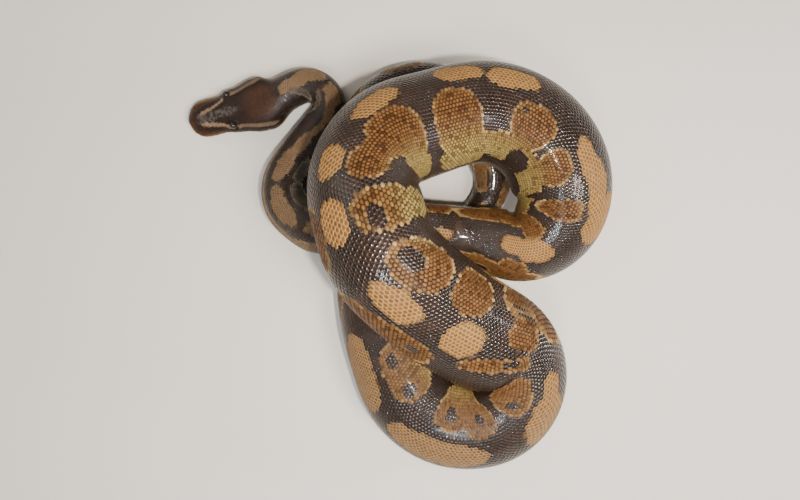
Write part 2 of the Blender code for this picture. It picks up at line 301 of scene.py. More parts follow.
# Relief of the face: the groove of the mouth, the nostrils, the brow, and the heat pits, which
# are in the middle of the first upper lip plates and of a few lower ones.
head_side = axis_at(right, 0.030)
head_centre = axis_at(path, stations[:head_rows])
aside_of = ((shape[:head_rows] - head_centre[:, None]) * head_side).sum(axis=-1)
height_of = shape[:head_rows, :, 2]
mouth_height = read_off(MOUTH_LINE, stations[:head_rows])[:, None]
mouth_reach = np.clip((0.0510 - stations[:head_rows]) / 0.003, 0, 1)[:, None]
groove = 0.00055 * np.exp(-((height_of - mouth_height) / 0.00038) ** 2) * mouth_reach
LIP_PLATES = 12
UPPER_LIP, LOWER_LIP = 0.00175, -0.00155
NOSTRIL_ALONG, NOSTRIL_HEIGHT = 0.0070, 0.0048


def lip_plate_at(number):
    return 0.0022 + 0.0470 * (number + 0.5) / LIP_PLATES


HOLLOWS = [(NOSTRIL_ALONG, NOSTRIL_HEIGHT, 0.00080, 0.0010)]
HOLLOWS += [(lip_plate_at(n), UPPER_LIP, 0.00072, 0.0009) for n in range(5)]
HOLLOWS += [(lip_plate_at(n), LOWER_LIP, 0.00050, 0.0003) for n in (7, 8, 9)]
pit = np.zeros_like(height_of)
for hollow_s, above_mouth, hollow_radius, hollow_depth in HOLLOWS:
    row = int(np.argmin(np.abs(stations - hollow_s)))
    wanted = float(read_off(MOUTH_LINE, hollow_s)) + above_mouth
    for side in (-1, 1):
        missed = np.abs(height_of[row] - wanted) + np.where(side * turns > 0, 0.0, 1.0)
        gap = np.linalg.norm(shape[:head_rows] - shape[row, int(np.argmin(missed))], axis=-1)
        pit += hollow_depth * np.exp(-(gap / hollow_radius) ** 2)
EYE_ALONG, EYE_HEIGHT, EYE_RADIUS = 0.0292, 0.0122, 0.0025
BROW_ASIDE, BROW_RADIUS = 0.0103, 0.0040
eye_gap = np.hypot(np.hypot(np.abs(aside_of) - BROW_ASIDE, height_of - EYE_HEIGHT),
                   (stations[:head_rows] - EYE_ALONG)[:, None])
brow = 0.00050 * np.exp(-((eye_gap - BROW_RADIUS) / 0.0010) ** 2)
sunken = np.zeros(shape.shape[:2])
sunken[:head_rows] = groove + np.minimum(pit, 0.0011) - brow
# Painted shade: the mouth's groove, the pits and the nostrils are also darkened in colour by this mask.
hollow_shade_mask = np.zeros(shape.shape[:2])
hollow_shade_mask[:head_rows] = np.clip(groove / 0.0005 + pit / 0.0006, 0, 1)

COAT_DEPTH = np.array([(0.0, 0.00042), (0.050, 0.00045), (0.110, 0.00055), (0.300, 0.00070),
                       (0.900, 0.00070), (1.050, 0.00050), (1.147, 0.00025)])


def hollow_shade_at(distance, turn):
    """How deep a place lies in a pit, a nostril or the mouth's groove, from none to wholly; the colour
    is darkened there as painted shade.
    """
    row = np.rint(np.interp(distance, stations, np.arange(len(stations)))).astype(int)
    column = np.rint((turn / math.tau + 0.5) * COLUMNS).astype(int) % COLUMNS
    return hollow_shade_mask[row, column]


def on_surface(distance, turn, lift):
    """Points at a distance from the snout and an angle round the body, lifted off the skin."""
    row = np.clip(np.interp(distance, stations, np.arange(len(stations))), 0, len(stations) - 1.001)
    column = (turn / math.tau + 0.5) * COLUMNS
    row_low = np.floor(row).astype(int)
    column_low = np.floor(column).astype(int)
    row_share = (row - row_low)[..., None]
    column_share = (column - column_low)[..., None]
    left, after = column_low % COLUMNS, (column_low + 1) % COLUMNS

    def blend(grid):
        front = grid[row_low, left] * (1 - column_share) + grid[row_low, after] * column_share
        back = (grid[row_low + 1, left] * (1 - column_share)
                + grid[row_low + 1, after] * column_share)
        return front * (1 - row_share) + back * row_share

    place = blend(shape)
    facing = blend(normals)
    inset = read_off(COAT_DEPTH, distance) + blend(sunken[..., None])[..., 0]
    place = place + facing * (lift - inset)[..., None]
    place[..., 2] = np.maximum(place[..., 2], 0.00006)
    return place


# The markings: black-brown ground with rounded tan saddles. A marking is a distance from the
# snout and an angle from the line of the back, its half length, half breadth in degrees and
# lean, in millimetres and degrees. The line of the back rolls to one side in the high coils.
BACK_LINE = np.array([(0, 10), (20, 9.5), (50, 6), (66, 0), (300, 0), (345, 10), (380, 28),
                      (530, 35), (560, 33), (610, 15), (680, 0), (740, -20), (800, -26),
                      (880, 0), (1150, 0)])
BACK_SPOTS = [
    (71, 0, 9.5, 19, 0), (81, -24, 9, 24, -30), (103, -12, 12, 15, 0), (97, -32, 5.5, 18, 0),
    (121, -7, 14, 9, 15), (133, 4, 8, 15, 0), (150, 11, 11.5, 18, 0), (181, 12, 16.5, 19, 0),
    (216, 4, 13, 17, 0), (247, 0, 12, 17, 0), (273, 6, 9, 11, 0), (324, -3, 9.5, 13, 0),
    (333, 4, 8.5, 17, 10), (360, 30, 9.5, 25, 0), (372, 4, 13, 13, -20), (384, -9, 9.5, 11, 0),
    (433, 1, 12, 14, -10), (457, 9, 11.5, 13.5, 15), (501, 0, 10.5, 12.5, -20),
    (530, -2, 6.5, 14.5, 0), (552, 0, 8.5, 16, 0), (586, -3, 11.5, 15, 15), (623, -2, 11, 18.5, 0),
    (699, -33, 10.5, 23, 12), (688, -30, 8, 11, 0), (746, -17, 22.5, 20.5, 0),
    (795, -25, 20.5, 24, 0),
]
LEFT_SADDLES = [
    (300, -51, 18, 20, 0), (324, -52, 16, 20, 0), (338, -36, 8.5, 24, 0), (330, -78, 30, 22, 0),
    (361.5, -33, 7, 28, 8), (361, -84, 17, 16, 0), (387, -49, 11, 21, 0), (416, -42, 14.5, 23, 0),
    (412, -78, 54, 19, 0), (464.5, -50, 15.5, 37, 0), (463, -92, 17, 22, 0),
    (504, -49, 16, 34, 0), (505, -88, 17, 24, 0), (530.5, -42, 9.4, 20, 0), (519, -46, 9, 19, 0),
    (552, -54, 8.6, 33, 0), (552, -90, 6.5, 20, 0), (581.5, -50, 15.5, 27, 0),
    (614, -50, 14, 26.5, 0), (655, -25, 11, 14, 0), (654, -40, 9, 13, 0),
    (656, -63, 20, 24, 0), (648, -96, 26, 12, 0),
    (703, -92, 13, 18, 0), (745, -84, 17, 24, 0), (795, -92, 16, 24, 0), (838, -70, 14, 30, 0),
]
RIGHT_SADDLES = [
    (172, 70, 32, 20, 0), (307, 60, 26, 28, 0), (322, 38, 6.5, 20, 0), (362, 92, 14, 24, 0),
    (408, 66, 17, 26, 0), (452, 70, 14, 28, 0), (497, 66, 16, 26, 0), (526, 90, 9, 22, 0),
    (554, 42, 13, 24, 0), (597, 47, 25, 28, 0), (643, 13, 14, 8.5, -25), (658, 2, 14, 8, -25),
    (687, 15, 15.5, 21, 0), (721, 25, 12, 19, 0), (742, 37, 13, 21, 0), (733, 52, 20, 18, 0),
    (787, 35, 19, 26, 0), (690, 78, 16, 26, 0), (735, 96, 16, 22, 0), (785, 92, 15, 22, 0),
    (836, 40, 14, 30, 0),
]
DARK_EYES = [
    (424, -31, 2.3, 3, 0), (555, -41, 4.2, 8.5, 0), (575.5, -47, 6.5, 10.5, 0),
    (609, 38, 3.6, 6.5, 0), (655, 3, 4.6, 4, -20), (655, -47, 8, 2.2, 0), (649, -54, 7, 2, 0),
    (695, 12, 3, 6, 0),
    (721, 25, 3.6, 6, 0), (743, 33, 4.2, 7, 0), (776, 28, 4.2, 7, 0), (795, 25, 4.6, 6, 0),
    (408, -84, 12.5, 16, 0), (370.5, -52, 3.2, 30, 0), (404, -106, 18, 6, 15),
    (306, 62, 5, 8, 0), (1066, 20, 6, 7, 0), (452, 74, 4, 7, 0), (497, 70, 4, 6, 0), (745, -84, 4, 7, 0),
]
GREY_SADDLES = [(80, 39, 13, 13, 20), (101, 31, 11, 10, 20), (150, -36, 11.5, 15, 0),
                (181, -40, 21, 20, 0)]
for n in range(6):
    hidden = 868 + 31 * n
    BACK_SPOTS.append((hidden, 6 * (-1) ** n, 10.5 - 0.5 * n, 17, 0))
    LEFT_SADDLES.append((hidden + 14, -68, 12 - 0.6 * n, 32, 0))
    RIGHT_SADDLES.append((hidden + 12, 66, 11 - 0.6 * n, 32, 0))
    DARK_EYES.append((hidden + 14, -60, 3.4, 7, 0))
BACK_SPOTS += [(1043, -28, 8, 16, 0), (1092, 0, 9, 17, 0), (1116, 0, 7, 17, 0)]
RIGHT_SADDLES += [(1064, 44, 14, 34, 0), (1102, 70, 9, 30, 0)]
LEFT_SADDLES += [(1072, -50, 9, 22, 0), (1104, -70, 9, 30, 0)]
for n in range(4):
    LEFT_SADDLES.append((210 + 21 * n, -62, 9, 26, 0))
    RIGHT_SADDLES.append((205 + 22 * n, 66, 9.5, 28, 0))


def inside_by(markings, distance, turn, wobble):
    """How far inside the nearest marking a place is, in millimetres; negative outside."""
    depth = np.full(distance.shape, -30.0)
    per_degree = np.maximum(axis_at(girth, distance / 1000), 0.004) * 1000 * math.pi / 180
    for centre_s, centre_turn, half_s, half_turn, lean in markings:
        close = np.abs(distance - centre_s) < half_s * 1.6 + 12
        if not close.any():
            continue
        scale = per_degree[close]
        x = distance[close] - centre_s
        y = (turn[close] - centre_turn) * scale
        tip = math.radians(lean)
        x, y = x * math.cos(tip) + y * math.sin(tip), y * math.cos(tip) - x * math.sin(tip)
        half_y = half_turn * scale
        size = (np.abs(x / half_s) ** 2.5 + np.abs(y / half_y) ** 2.5) ** (1 / 2.5)
        found = (1 - size) * np.minimum(half_s, half_y) + wobble[close]
        depth[close] = np.maximum(depth[close], found)
    return depth


def ramp(values, low, high):
    share = np.clip((values - low) / (high - low), 0, 1)
    return share * share * (3 - 2 * share)


def back_roll(distance):
    return np.radians(np.interp(distance * 1000, BACK_LINE[:, 0], BACK_LINE[:, 1]))


# Where the markings roll to one side, the belly plates roll only by this share of it.
BELLY_ROLL = 0.35


def markings_at(distance, turn, ragged):
    """The marking masks at places on the hide: distances in metres, angles from the back."""
    from_snout = distance * 1000
    s, q = from_snout - 1.4, np.degrees(turn)
    q = (q + 180) % 360 - 180
    off_line = np.abs(q)
    low = q + (1 - BELLY_ROLL) * np.degrees(back_roll(distance))
    low = np.abs((low + 180) % 360 - 180)
    wobble = ragged * (0.5 * np.sin(s * 0.9 + q * 0.13) + 0.4 * np.sin(s * 0.37 - q * 0.29))
    back = inside_by(BACK_SPOTS, s, q, wobble)
    flank = np.maximum(inside_by(LEFT_SADDLES, s, q, wobble), inside_by(RIGHT_SADDLES, s, q, wobble))
    grey = inside_by(GREY_SADDLES, s, q, wobble)
    dark = inside_by(DARK_EYES, s, q, wobble * 0.5)
    deepest = np.maximum(np.maximum(back, flank), grey)
    tan = ramp(np.minimum(deepest, -dark), -0.25, 0.25)
    rim = ramp(deepest, -0.4, 0.2) * (1 - ramp(deepest, 0.5, 1.4))
    eye_rim = ramp(-dark, -0.4, 0.2) * (1 - ramp(-dark, 0.5, 1.4))
    outline = np.maximum(rim, 0.35 * eye_rim) * (0.25 + 0.65 * ramp(off_line, 25, 60))
    golden = ramp(back, -0.4, 0.3) * ramp(s, 205, 215)
    greyness = ramp(grey, -0.4, 0.3) * (1 - ramp(s, 205, 215))
    # The neck's markings are a duller brown of their own; over the loop they are dulled towards umber as
    # painted shade.
    dulled_and_shaded = np.maximum(1 - ramp(s, 200, 260), 0.32 * ramp(s, 660, 720))
    dulled_and_shaded = dulled_and_shaded * (1 - 0.75 * golden) + 0.62 * golden * ramp(s, 660, 720)
    trunk = ramp(s, 270, 350) * (1 - ramp(s, 560, 600))
    loop = ramp(s, 670, 700) * (1 - ramp(s, 820, 860))
    olive = ramp(off_line, 78 - 32 * trunk - 42 * loop, 104 - 18 * trunk - 32 * loop)
    pale = ramp(low, 96 - 4 * trunk, 132 - 14 * trunk)
    belly = ramp(low, 130 + 6 * trunk, 142 + 4 * trunk)

    # The head: a dark crown, ruddy behind, a painted grey sheen over the snout, a pale stripe from
    # the snout through each eye to the nape, brown lips with a tan lower edge, and a cream chin.
    s = from_snout
    head = 1 - ramp(s, 57, 65)
    stripe_line = np.interp(s, [9, 13, 17, 20, 25, 28, 33, 40, 45, 50, 54, 57],
                            [19, 24.5, 29, 34.5, 42, 45, 48, 48.5, 50, 54, 60, 65])
    stripe_half = np.interp(s, [8, 10, 13, 20, 28, 33, 44, 53, 57],
                            [0, 5, 6.5, 5.5, 5.5, 6, 6.5, 8, 0])
    stripe = 1 - ramp(np.abs(off_line - stripe_line) - stripe_half, -1.5, 1.5)
    stripe = stripe * ramp(s, 8, 10) * (1 - ramp(s, 56, 58)) * ramp(np.abs(s - 29.5), 2.0, 3.2)
    stripe = stripe * (1 - 0.35 * ramp(s, 30, 36))
    lips = ramp(off_line, stripe_line + stripe_half + 14, stripe_line + stripe_half + 24)
    lips = np.maximum(lips, 1 - ramp(s, 3.0, 6.5))
    lip_edge = ramp(off_line - np.interp(s, [0, 20, 30], [58, 62, 80]), 0, 19)
    chin = ramp(off_line, 116, 132)
    sheen_half = np.interp(s, [7, 16, 20, 28, 36], [17, 20, 14, 13, 6])
    # Painted sheen: this mask marks where the snout's dark crown is lit grey.
    snout = (1 - ramp(off_line - sheen_half, -4, 4)) * ramp(s, 5, 9) * (1 - ramp(s, 32, 39))
    ruddy = ramp(s, 34, 48) * (1 - ramp(off_line, 20, 46))
    first = np.stack([tan * (1 - head), outline * (1 - head), golden * (1 - head) + ruddy * head,
                      olive * (1 - head)], axis=-1)
    second = np.stack([pale * (1 - head) + lip_edge * head, belly * (1 - head) + chin * head,
                       greyness * (1 - head), dulled_and_shaded * (1 - head)], axis=-1)
    face = np.stack([head, stripe * head, lips * head, snout * head], axis=-1)
    return first, second, face


def store_colours(mesh, name, values):
    attribute = mesh.attributes.new(name, "FLOAT_COLOR", "POINT")
    attribute.data.foreach_set("color", values.astype(np.float32).ravel())


def store_markings(mesh, distance, turn, ragged, copies=1):
    """Stores the masks of each place, once for each vertex of the scale that lies there."""
    for name, values in zip(("marking", "belly", "face"), markings_at(distance, turn, ragged)):
        store_colours(mesh, name, np.repeat(values, copies, axis=0))


def linked(name, mesh):
    made = bpy.data.objects.new(name, mesh)
    bpy.context.scene.collection.objects.link(made)
    return made


SKIN_AROUND = 150
skin_rows = np.concatenate([np.linspace(0.0003, 0.064, 150), np.linspace(0.0665, TAIL_END, 440)])
skin_build = bmesh.new()
bmesh.ops.create_grid(skin_build, x_segments=len(skin_rows) - 1, y_segments=SKIN_AROUND, size=0.5)
grid_row = np.array([v.co.x for v in skin_build.verts])
grid_turn = np.array([v.co.y for v in skin_build.verts])
row_number = np.rint((grid_row + 0.5) * (len(skin_rows) - 1)).astype(int)
turn_number = np.rint((grid_turn + 0.5) * SKIN_AROUND).astype(int)
skin_distance = skin_rows[row_number]
skin_turn = math.tau * (turn_number / SKIN_AROUND - 0.5)
skin_place = on_surface(skin_distance, skin_turn, np.zeros(len(skin_turn)))
unwrap = skin_build.loops.layers.uv.new("OFBake")
skin_build.verts.ensure_lookup_table()
LENGTHS = 5
strip = TAIL_END / LENGTHS
for face in skin_build.faces:
    first = min(skin_distance[v.index] for v in face.verts)
    number = min(int(first / strip), LENGTHS - 1)
    for corner in face.loops:
        at = corner.vert.index
        across = turn_number[at] / SKIN_AROUND
        down = (skin_distance[at] - number * strip) / strip
        corner[unwrap].uv = (0.02 + 0.93 * down, (number + 0.03 + 0.94 * across) / LENGTHS)
at_distance = skin_build.verts.layers.float.new("at_distance")
at_turn = skin_build.verts.layers.float.new("at_turn")
for vertex, place, far, round_at in zip(skin_build.verts, skin_place, skin_distance, skin_turn):
    vertex.co = place
    vertex[at_distance] = far
    vertex[at_turn] = round_at
bmesh.ops.remove_doubles(skin_build, verts=skin_build.verts, dist=1e-7)
ends = bmesh.ops.holes_fill(skin_build, edges=skin_build.edges)["faces"]
bmesh.ops.poke(skin_build, faces=ends)
bmesh.ops.recalc_face_normals(skin_build, faces=skin_build.faces)
skin_mesh = bpy.data.meshes.new("skin")
skin_build.to_mesh(skin_mesh)
skin_build.free()
skin_mesh.shade_smooth()


def read_floats(mesh, name):
    values = np.zeros(len(mesh.vertices), dtype=np.float32)
    mesh.attributes[name].data.foreach_get("value", values)
    mesh.attributes.remove(mesh.attributes[name])
    return values.astype(float)


kept_distance = read_floats(skin_mesh, "at_distance")
kept_turn = read_floats(skin_mesh, "at_turn")
store_markings(skin_mesh, kept_distance, kept_turn - back_roll(kept_distance), 0.3)
# Bare skin takes a scale's rim, a middling tone and the painted shade of the face's hollows.
bare = np.stack([np.ones(len(kept_turn)), np.full(len(kept_turn), 0.5),
                 hollow_shade_at(kept_distance, kept_turn), np.ones(len(kept_turn))], axis=-1)
store_colours(skin_mesh, "plate", bare)


def node(tree, kind, **inputs):
    made = tree.nodes.new(kind)
    for key, value in inputs.items():
        made.inputs[key.replace("_", " ")].default_value = value
    return made


def mixed(tree, share, first, second):
    """A mix of two colours; each may be a socket or a plain colour, and so may the share."""
    made = tree.nodes.new("ShaderNodeMix")
    made.data_type = "RGBA"
    for socket, value in ((made.inputs[0], share), (made.inputs[6], first), (made.inputs[7], second)):
        if isinstance(value, bpy.types.NodeSocket):
            tree.links.new(value, socket)
        elif isinstance(value, tuple):
            socket.default_value = (*value, 1.0)
        else:
            socket.default_value = value
    return made.outputs[2]


def reckoned(tree, operation, first, second=0.0):
    made = tree.nodes.new("ShaderNodeMath")
    made.operation = operation
    made.use_clamp = True
    for socket, value in ((made.inputs[0], first), (made.inputs[1], second)):
        if isinstance(value, bpy.types.NodeSocket):
            tree.links.new(value, socket)
        else:
            socket.default_value = value
    return made.outputs[0]


# The hide's colours, shared by the skin and by every scale: the marking masks choose between
# the black-brown ground, the saddles, their cream edge, and the pale lower flanks and belly.
hide = bpy.data.node_groups.new("python_hide", "ShaderNodeTree")
for wanted, kind in (("Marking", "NodeSocketColor"), ("Belly", "NodeSocketColor"),
                     ("Face", "NodeSocketColor"), ("Plate", "NodeSocketColor"),
                     ("Olive", "NodeSocketFloat"), ("Dulled_and_shaded", "NodeSocketFloat"),
                     ("Snout_sheen", "NodeSocketFloat")):
    hide.interface.new_socket(name=wanted, in_out="INPUT", socket_type=kind)
for wanted, kind in (("Colour", "NodeSocketColor"), ("Roughness", "NodeSocketFloat"),
                     ("Height", "NodeSocketFloat"), ("Gloss", "NodeSocketFloat")):
    hide.interface.new_socket(name=wanted, in_out="OUTPUT", socket_type=kind)
inward = hide.nodes.new("NodeGroupInput")
outcome = hide.nodes.new("NodeGroupOutput")
place_node = hide.nodes.new("ShaderNodeTexCoord")
broad = node(hide, "ShaderNodeTexNoise", Scale=55.0, Detail=4.0, Roughness=0.6)
grain = node(hide, "ShaderNodeTexNoise", Scale=900.0, Detail=3.0, Roughness=0.7)
for texture in (broad, grain):
    hide.links.new(place_node.outputs["Object"], texture.inputs["Vector"])


def parted(masks):
    """The three masks that come in as one colour."""
    split = hide.nodes.new("ShaderNodeSeparateColor")
    hide.links.new(inward.outputs[masks], split.inputs[0])
    return split.outputs


mark, under, face_mask, plate = map(parted, ("Marking", "Belly", "Face", "Plate"))
rim = reckoned(hide, "DIVIDE", reckoned(hide, "SUBTRACT", plate[0], 0.56), 0.38)
tone = reckoned(hide, "ADD", reckoned(hide, "MULTIPLY", plate[1], 0.6),
                reckoned(hide, "MULTIPLY", broad.outputs["Fac"], 0.4))


def edged_with(share, colour, edge):
    """The colour of a scale, passing to another at its rim."""
    return mixed(hide, reckoned(hide, "MULTIPLY", rim, share), colour, edge)


speck = reckoned(hide, "MULTIPLY", reckoned(hide, "LESS_THAN", plate[1], 0.13), 0.55)
# Painted sheen: broad ruddy patches on the dark ground stand in for a warm sheen on it.
ruddy_sheen = reckoned(hide, "MULTIPLY", reckoned(hide, "SUBTRACT", broad.outputs["Fac"], 0.50), 4.0)
ground = mixed(hide, tone, (0.0060, 0.0030, 0.0018), (0.0220, 0.0105, 0.0055))
ground = mixed(hide, ruddy_sheen, ground, (0.0360, 0.0145, 0.0072))
# Painted highlight: the dark ground's scales, and the bare skin between them, are lighter at their rims,
# standing in for thin lit lines along each scale.
ground = edged_with(0.45, ground, (0.034, 0.021, 0.0145))
saddle = mixed(hide, tone, (0.070, 0.0270, 0.0070), (0.200, 0.0900, 0.0275))
saddle = edged_with(0.90, saddle, (0.016, 0.0065, 0.0026))
saddle = mixed(hide, speck, saddle, (0.028, 0.0095, 0.0026))
gold = mixed(hide, tone, (0.098, 0.040, 0.0105), (0.200, 0.088, 0.0265))
gold = edged_with(0.90, gold, (0.370, 0.218, 0.0790))
olive = mixed(hide, tone, (0.165, 0.102, 0.026), (0.400, 0.290, 0.096))
olive = edged_with(0.97, olive, (0.026, 0.016, 0.0050))
olive = mixed(hide, speck, olive, (0.056, 0.033, 0.010))
cream = mixed(hide, tone, (0.270, 0.155, 0.052), (0.540, 0.350, 0.145))
edged = mixed(hide, mark[1], saddle, cream)
edged = mixed(hide, mark[2], edged, gold)
# Umber takes over where the markings are dulled: the neck's own duller brown, and painted shade over the
# loop.
umber = mixed(hide, tone, (0.062, 0.031, 0.0140), (0.150, 0.088, 0.0460))
umber = edged_with(0.80, umber, (0.250, 0.170, 0.1000))
edged = mixed(hide, reckoned(hide, "MULTIPLY", inward.outputs["Dulled_and_shaded"], 0.80), edged, umber)
grey = mixed(hide, mark[1], mixed(hide, tone, (0.030, 0.024, 0.018), (0.080, 0.064, 0.047)),
             (0.170, 0.130, 0.090))
edged = mixed(hide, under[2], edged, grey)
edged = mixed(hide, inward.outputs["Olive"], edged, olive)
body = mixed(hide, mark[0], ground, edged)
pale = mixed(hide, tone, (0.380, 0.300, 0.140), (0.680, 0.580, 0.360))
body = mixed(hide, reckoned(hide, "MULTIPLY", under[0],
                            reckoned(hide, "ADD", mark[0], 0.35)), body, pale)
belly_colour = mixed(hide, tone, (0.560, 0.460, 0.310), (0.760, 0.670, 0.500))
body = mixed(hide, under[1], body, belly_colour)
crown = mixed(hide, tone, (0.0070, 0.0036, 0.0024), (0.0225, 0.0112, 0.0070))
ruddy = mixed(hide, tone, (0.0220, 0.0085, 0.0045), (0.0560, 0.0215, 0.0105))
crown = mixed(hide, mark[2], crown, ruddy)
crown = edged_with(0.35, crown, (0.012, 0.006, 0.004))
# Painted sheen: over the snout the dark crown turns grey in random patches, scale by scale.
patchy = reckoned(hide, "MULTIPLY", reckoned(hide, "SUBTRACT", tone, 0.22), 1.6)
snout = mixed(hide, patchy, (0.014, 0.0104, 0.0082), (0.076, 0.060, 0.049))
crown = mixed(hide, inward.outputs["Snout_sheen"], crown, snout)
lips = mixed(hide, tone, (0.022, 0.0080, 0.0038), (0.060, 0.0230, 0.0098))
lips = mixed(hide, under[0], lips, mixed(hide, tone, (0.110, 0.052, 0.0215),
                                                 (0.215, 0.115, 0.0520)))
crown = mixed(hide, face_mask[2], crown, lips)
stripe = mixed(hide, tone, (0.115, 0.070, 0.0390), (0.235, 0.155, 0.0930))
crown = mixed(hide, face_mask[1], crown, stripe)
crown = mixed(hide, under[1], crown, belly_colour)
whole = mixed(hide, face_mask[0], body, crown)
# Painted shade: the pits, nostrils and mouth's groove are darkened almost to black.
whole = mixed(hide, plate[2], whole, (0.004, 0.003, 0.002))
hide.links.new(whole, outcome.inputs["Colour"])
matt = reckoned(hide, "MULTIPLY", mark[0], 0.16)
wear = reckoned(hide, "MULTIPLY", grain.outputs["Fac"], 0.14)
hide.links.new(reckoned(hide, "ADD", reckoned(hide, "ADD", matt, wear), 0.16),
               outcome.inputs["Roughness"])
hide.links.new(grain.outputs["Fac"], outcome.inputs["Height"])
dull = reckoned(hide, "ADD", reckoned(hide, "MULTIPLY", mark[0], 0.78),
                reckoned(hide, "MULTIPLY", face_mask[0], 0.58))
hide.links.new(reckoned(hide, "SUBTRACT", 0.90, dull), outcome.inputs["Gloss"])


def hide_finish(name, bump):
    """A finish in the hide's colours, dry or glossy, with a fine grain."""
    finish = bpy.data.materials.new(name)
    finish.use_nodes = True
    tree = finish.node_tree
    shader = tree.nodes["Principled BSDF"]
    shader.inputs["Specular IOR Level"].default_value = 0.07
    colours = tree.nodes.new("ShaderNodeGroup")
    colours.node_tree = hide
    for attribute, color_socket, alpha_socket in (("marking", "Marking", "Olive"),
                                                  ("belly", "Belly", "Dulled_and_shaded"),
                                                  ("face", "Face", "Snout_sheen"),
                                                  ("plate", "Plate", None)):
        reader = tree.nodes.new("ShaderNodeAttribute")
        reader.attribute_name = attribute
        tree.links.new(reader.outputs["Color"], colours.inputs[color_socket])
        if alpha_socket:
            tree.links.new(reader.outputs["Alpha"], colours.inputs[alpha_socket])
    tree.links.new(colours.outputs["Colour"], shader.inputs["Base Color"])
    tree.links.new(colours.outputs["Roughness"], shader.inputs["Roughness"])
    shader.inputs["Coat Roughness"].default_value = 0.05
    tree.links.new(colours.outputs["Gloss"], shader.inputs["Coat Weight"])
    relief = tree.nodes.new("ShaderNodeBump")
    relief.inputs["Strength"].default_value = bump
    relief.inputs["Distance"].default_value = 0.0002
    tree.links.new(colours.outputs["Height"], relief.inputs["Height"])
    tree.links.new(relief.outputs["Normal"], shader.inputs["Normal"])
    return finish


skin_mesh.materials.append(hide_finish("skin", 0.6))
skin = linked("skin", skin_mesh)
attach(skin, "root")
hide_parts("head", "lower_jaw", "neck", "tail", *[f"trunk_{n:02d}" for n in range(1, 11)])


# ---- Body scales -----------------------------------------------------------------------
# Smooth, glossy, lozenge-shaped scales of keratin in staggered rows round the body. Each is a
# low dome with its own wall, bent on to the skin, its rear edge lifted a little over the next.
def blank_plate(name, sides, power):
    """One scale before it is laid: a low dome, x across, y towards its free edge, z out. Its
    corners lie on a rounded lozenge, two of them at its sides."""
    build = bmesh.new()
    bmesh.ops.create_circle(build, cap_ends=True, segments=sides, radius=1.0)
    for vertex in build.verts:
        stretch = (abs(vertex.co.x) ** power + abs(vertex.co.y) ** power) ** (-1 / power)
        vertex.co = Vector((vertex.co.y, vertex.co.x, 0.0)) * stretch
    build.faces.ensure_lookup_table()
    top = build.faces[0]
    for step, (shrink, rise) in enumerate(((0.93, 0.55), (0.64, 0.37))):
        before = top
        made = bmesh.ops.extrude_face_region(build, geom=[before], use_keep_orig=step == 0)["geom"]
        corners = [part for part in made if isinstance(part, bmesh.types.BMVert)]
        top = [part for part in made if isinstance(part, bmesh.types.BMFace)][0]
        if step > 0:
            bmesh.ops.delete(build, geom=[before], context="FACES_ONLY")
        bmesh.ops.scale(build, vec=(shrink, shrink, 1.0), verts=corners)
        bmesh.ops.translate(build, vec=(0.0, 0.0, rise), verts=corners)
    crown_point = bmesh.ops.poke(build, faces=[top])["verts"]
    bmesh.ops.translate(build, vec=(0.0, 0.0, 0.08), verts=crown_point)
    bmesh.ops.recalc_face_normals(build, faces=build.faces)
    mesh = bpy.data.meshes.new(name)
    build.to_mesh(mesh)
    build.free()
    mesh.shade_smooth()
    return mesh


def repeated(name, blank, count):
    """The same blank repeated by an array modifier, applied, as one joined mesh."""
    carrier = linked(name, blank)
    array = carrier.modifiers.new("rows", "ARRAY")
    array.count = count
    array.use_relative_offset = False
    array.use_constant_offset = True
    array.constant_offset_displace = (0.0, 0.0, 0.0)
    ready = carrier.evaluated_get(bpy.context.evaluated_depsgraph_get())
    mesh = bpy.data.meshes.new_from_object(ready)
    bpy.data.objects.remove(carrier)
    mesh.name = name
    return mesh


chance = np.random.default_rng(7)


